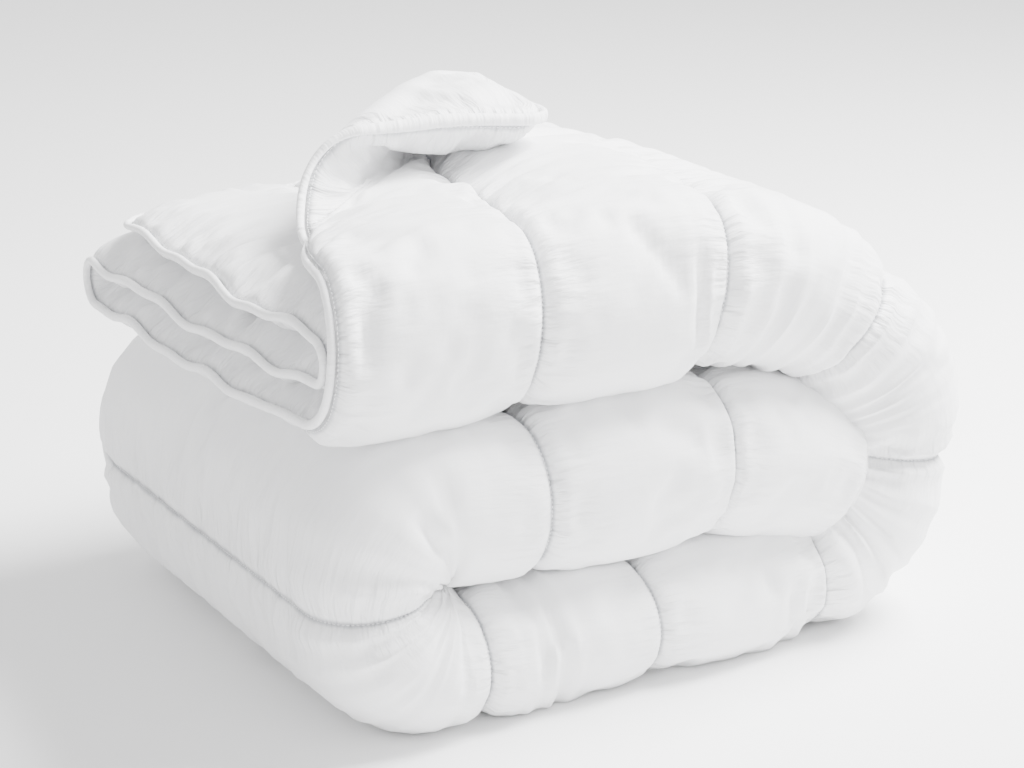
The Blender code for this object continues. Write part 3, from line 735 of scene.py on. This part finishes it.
# Quilting stitches.  Fine polyester thread lies in the valley of each seam, and in the ditch
# beside the piping, as a row of short even stitches.
STITCH_PITCH = 0.0045
STITCH_LENGTH = 0.0034
STITCH_THICKNESS = 0.0011
thread = bpy.data.materials.new("polyester thread")
thread.use_nodes = True
wire = Wire(thread.node_tree, None)
place = wire.node("ShaderNodeTexCoord")
twist = wire.out(
    wire.node("ShaderNodeTexNoise", None, Vector=wire.out(place, "Object"), Scale=900.0)
)
shine = thread.node_tree.nodes["Principled BSDF"]
tint = twist.blend((0.84, 0.84, 0.85, 1), (0.93, 0.93, 0.93, 1))
thread.node_tree.links.new(tint.socket, shine.inputs["Base Color"])
thread.node_tree.links.new((0.38 + twist * 0.15).socket, shine.inputs["Roughness"])


def stitching_tree():
    """Build the node tree that lays stitches of one size along a line of stitching."""
    tree = bpy.data.node_groups.new("stitching", "GeometryNodeTree")
    face = tree.interface
    face.new_socket("Line", in_out="INPUT", socket_type="NodeSocketGeometry")
    keys = {}
    for label, value in (
        ("Pitch", STITCH_PITCH), ("Length", STITCH_LENGTH), ("Thickness", STITCH_THICKNESS)
    ):
        made = face.new_socket(label, in_out="INPUT", socket_type="NodeSocketFloat")
        made.default_value = value
        keys[label] = made.identifier
    face.new_socket("Stitches", in_out="OUTPUT", socket_type="NodeSocketGeometry")
    add, join = tree.nodes.new, tree.links.new
    begin, finish = add("NodeGroupInput"), add("NodeGroupOutput")
    curve, resample = add("GeometryNodeMeshToCurve"), add("GeometryNodeResampleCurve")
    resample.mode = "LENGTH"
    tangent, turn = add("GeometryNodeInputTangent"), add("FunctionNodeAlignRotationToVector")
    turn.axis = "X"
    shape_node, size = add("GeometryNodeMeshIcoSphere"), add("ShaderNodeCombineXYZ")
    shape_node.inputs["Radius"].default_value = 0.5
    vary = add("FunctionNodeRandomValue")
    vary.inputs[2].default_value = 0.85
    vary.inputs[3].default_value = 1.1
    vary.inputs["Seed"].default_value = 11
    longer = add("ShaderNodeMath")
    longer.operation = "MULTIPLY"
    spread, real = add("GeometryNodeInstanceOnPoints"), add("GeometryNodeRealizeInstances")
    smooth, paint = add("GeometryNodeSetShadeSmooth"), add("GeometryNodeSetMaterial")
    paint.inputs["Material"].default_value = thread
    join(begin.outputs["Line"], curve.inputs["Mesh"])
    join(curve.outputs[0], resample.inputs["Curve"])
    join(begin.outputs["Pitch"], resample.inputs["Length"])
    join(resample.outputs[0], spread.inputs["Points"])
    join(shape_node.outputs[0], spread.inputs["Instance"])
    join(tangent.outputs[0], turn.inputs["Vector"])
    join(turn.outputs[0], spread.inputs["Rotation"])
    join(begin.outputs["Length"], longer.inputs[0])
    join(vary.outputs[1], longer.inputs[1])
    join(longer.outputs[0], size.inputs["X"])
    join(begin.outputs["Thickness"], size.inputs["Y"])
    join(begin.outputs["Thickness"], size.inputs["Z"])
    join(size.outputs[0], spread.inputs["Scale"])
    join(spread.outputs[0], real.inputs[0])
    join(real.outputs[0], smooth.inputs[0])
    join(smooth.outputs[0], paint.inputs["Geometry"])
    join(paint.outputs[0], finish.inputs[0])
    return tree, keys


STITCHING, STITCH_KEYS = stitching_tree()


def stitches(name, lines, replaced):
    """Sew stitches along lines of points and keep them as a plain mesh."""
    line_mesh = bpy.data.meshes.new(name + "_line")
    edges, total = [], 0
    for line in lines:
        edges += [(total + k, total + k + 1) for k in range(len(line) - 1)]
        total += len(line)
    line_mesh.from_pydata(np.concatenate(lines).tolist(), edges, [])
    line = bpy.data.objects.new(name + "_line", line_mesh)
    bpy.context.scene.collection.objects.link(line)
    sewing = line.modifiers.new("stitching", "NODES")
    sewing.node_group = STITCHING
    sewing[STITCH_KEYS["Pitch"]] = STITCH_PITCH
    sewing[STITCH_KEYS["Length"]] = STITCH_LENGTH
    sewing[STITCH_KEYS["Thickness"]] = STITCH_THICKNESS
    view = bpy.context.evaluated_depsgraph_get()
    mesh = bpy.data.meshes.new_from_object(line.evaluated_get(view))
    bpy.data.objects.remove(line)
    mesh.name = name
    made = bpy.data.objects.new(name, mesh)
    bpy.context.scene.collection.objects.link(made)
    if replaced:
        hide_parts(*replaced)
    return made


def seam_line(number, first=0, last=ACROSS):
    """Give the points of a quilting seam, along its valley on the upper side."""
    return shape[1][number * FINE_PER_CHANNEL, first:last + 1]


def edge_line(column, first, last):
    """Give the points beside the piping along one long edge of the quilt."""
    return shape[1][first:last + 1, column]


BEND_START, BEND_END = 2 * FINE_PER_CHANNEL, 3 * FINE_PER_CHANNEL
sewn = stitches(
    "top_pass_quilting_stitches",
    [seam_line(1, CUT - FINE_PER_CHANNEL), seam_line(2)],
    ["quilting_seam_01", "quilting_seam_02"],
)
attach(sewn, "top_pass")
sewn = stitches(
    "bundle_quilting_stitches",
    [seam_line(number) for number in range(3, CHANNEL_COUNT)],
    [f"quilting_seam_{number:02d}" for number in range(3, CHANNEL_COUNT)],
)
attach(sewn, "bundle")
sewn = stitches(
    "corner_flap_quilting_stitches",
    [seam_line(1, 0, CUT - FINE_PER_CHANNEL)], ["corner_flap_quilting_seam"],
)
across_crease(sewn)
sewn = stitches(
    "top_pass_edge_stitches",
    [seam_line(0, CUT), edge_line(ACROSS, 0, BEND_START), edge_line(0, CUT, BEND_START)],
    ["top_pass_edge_seam", "top_pass_back_edge_seam"],
)
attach(sewn, "top_pass")
sewn = stitches(
    "shoulder_edge_stitches",
    [edge_line(ACROSS, BEND_START, BEND_END), edge_line(0, BEND_START, BEND_END)], [],
)
across_shoulder(sewn)
sewn = stitches(
    "bundle_edge_stitches",
    [edge_line(0, BEND_END, ALONG), seam_line(CHANNEL_COUNT), edge_line(ACROSS, BEND_END, ALONG)],
    ["bundle_edge_seam"],
)
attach(sewn, "bundle")
sewn = stitches(
    "corner_flap_edge_stitches",
    [edge_line(0, 0, CUT), seam_line(0, 0, CUT)], ["corner_flap_edge_seam"],
)
across_crease(sewn)


# Studio.  A plain pale floor under an even sky, one large soft light above on the right and a
# weak one in front.
floor_mesh = bpy.data.meshes.new("floor")
floor_mesh.from_pydata(
    [(-6, -6, -0.0005), (6, -6, -0.0005), (6, 6, -0.0005), (-6, 6, -0.0005)], [], [(0, 1, 2, 3)]
)
floor = bpy.data.objects.new("floor", floor_mesh)
bpy.context.scene.collection.objects.link(floor)
floor_paint = bpy.data.materials.new("pale floor")
floor_paint.use_nodes = True
floor_paint.node_tree.nodes["Principled BSDF"].inputs["Base Color"].default_value = (0.93,) * 3 + (1,)
floor_paint.node_tree.nodes["Principled BSDF"].inputs["Roughness"].default_value = 0.9
floor_mesh.materials.append(floor_paint)

sky = bpy.data.worlds.new("studio")
sky.use_nodes = True
sky.node_tree.nodes["Background"].inputs["Color"].default_value = (1.0, 1.0, 1.0, 1)
sky.node_tree.nodes["Background"].inputs["Strength"].default_value = 1.40
bpy.context.scene.world = sky


def softbox(name, place, aim, width, watts):
    """Hang a large soft light at a place, turned to look at a point."""
    light = bpy.data.lights.new(name, "AREA")
    light.shape = "SQUARE"
    light.size = width
    light.energy = watts
    lamp = bpy.data.objects.new(name, light)
    lamp.location = place
    lamp.rotation_euler = (Vector(aim) - Vector(place)).to_track_quat("-Z", "Y").to_euler()
    bpy.context.scene.collection.objects.link(lamp)
    return lamp


softbox("key", (1.5, -0.4, 2.4), (0, 0, 0.2), 1.5, 420)
softbox("fill", (0.6, -2.6, 1.2), (0, 0, 0.2), 1.8, 14)

AZIMUTH = math.radians(-31.0)
ELEVATION = math.radians(19.0)
DISTANCE = 2.62
target = Vector((0.013, -0.0227, 0.2105))
back = Vector((
    math.sin(AZIMUTH) * math.cos(ELEVATION),
    -math.cos(AZIMUTH) * math.cos(ELEVATION),
    math.sin(ELEVATION),
))
lens = bpy.data.cameras.new("camera")
lens.lens = 91.4
lens.shift_x = -0.0283
lens.shift_y = 0.0137
camera = bpy.data.objects.new("camera", lens)
camera.location = target + back * DISTANCE
camera.rotation_euler = back.to_track_quat("Z", "Y").to_euler()
bpy.context.scene.collection.objects.link(camera)
bpy.context.scene.camera = camera
